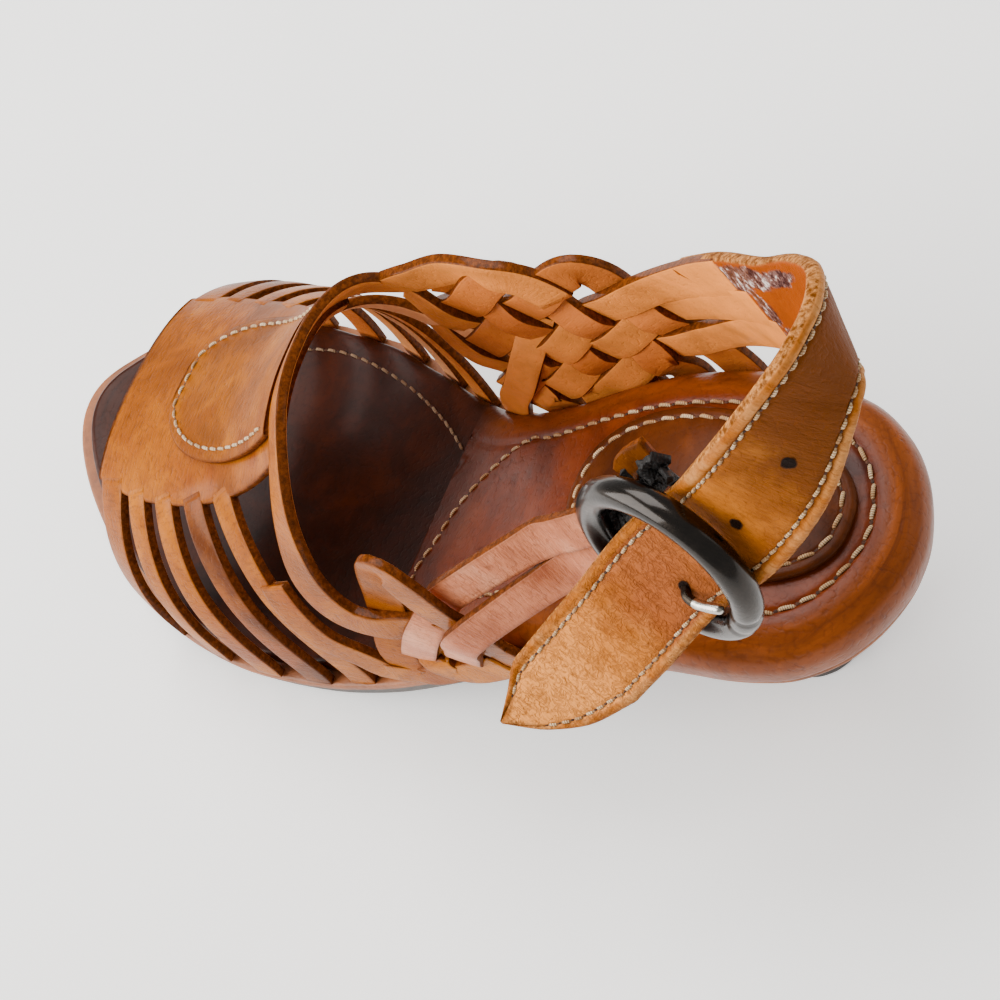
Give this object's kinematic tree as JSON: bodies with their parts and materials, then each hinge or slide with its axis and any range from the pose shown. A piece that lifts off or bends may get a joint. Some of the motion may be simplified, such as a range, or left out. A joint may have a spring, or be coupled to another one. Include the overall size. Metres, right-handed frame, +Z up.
{
  "type": "heeled gladiator sandal",
  "caption": "Heeled open-toe leather sandal: woven side bands and fan straps on a wrapped footbed, with an ankle strap and a round ring buckle.",
  "frame": {"origin": "on the floor under the middle of the sandal's bounding box", "axes": "+X towards the heel, +Y towards the inner side of the foot, +Z up from the floor"},
  "size_m": [0.25, 0.1046, 0.148],
  "materials": {
    "outsole": "worn matte edge",
    "heel": "stained stacked layers",
    "heel_lift": "matte",
    "footbed": "burnished, glossy rim",
    "insole": "dark, polished by wear",
    "heel_pad": "worn smooth",
    "upper": "waxed, raw brown cut edges",
    "vamp_overlay": "waxed",
    "ankle_strap": "grained, stitched edges",
    "buckle_chape": "pinkish flesh side, burnished",
    "elastic_tab": "crumpled black elastic",
    "buckle_ring": "gunmetal, worn",
    "buckle_prong": "bright wire"
  },
  "bodies": {
    "root": {"outsole": "outsole", "heel": "heel", "heel_lift": "heel_lift", "footbed": "footbed", "insole": "insole", "heel_pad": "heel_pad", "upper": "upper", "vamp_overlay": "vamp_overlay", "ankle_strap": "ankle_strap", "buckle_chape": "buckle_chape", "elastic_tab": "elastic_tab", "buckle_ring": "buckle_ring", "buckle_prong": "buckle_prong"}
  },
  "joints": []
}
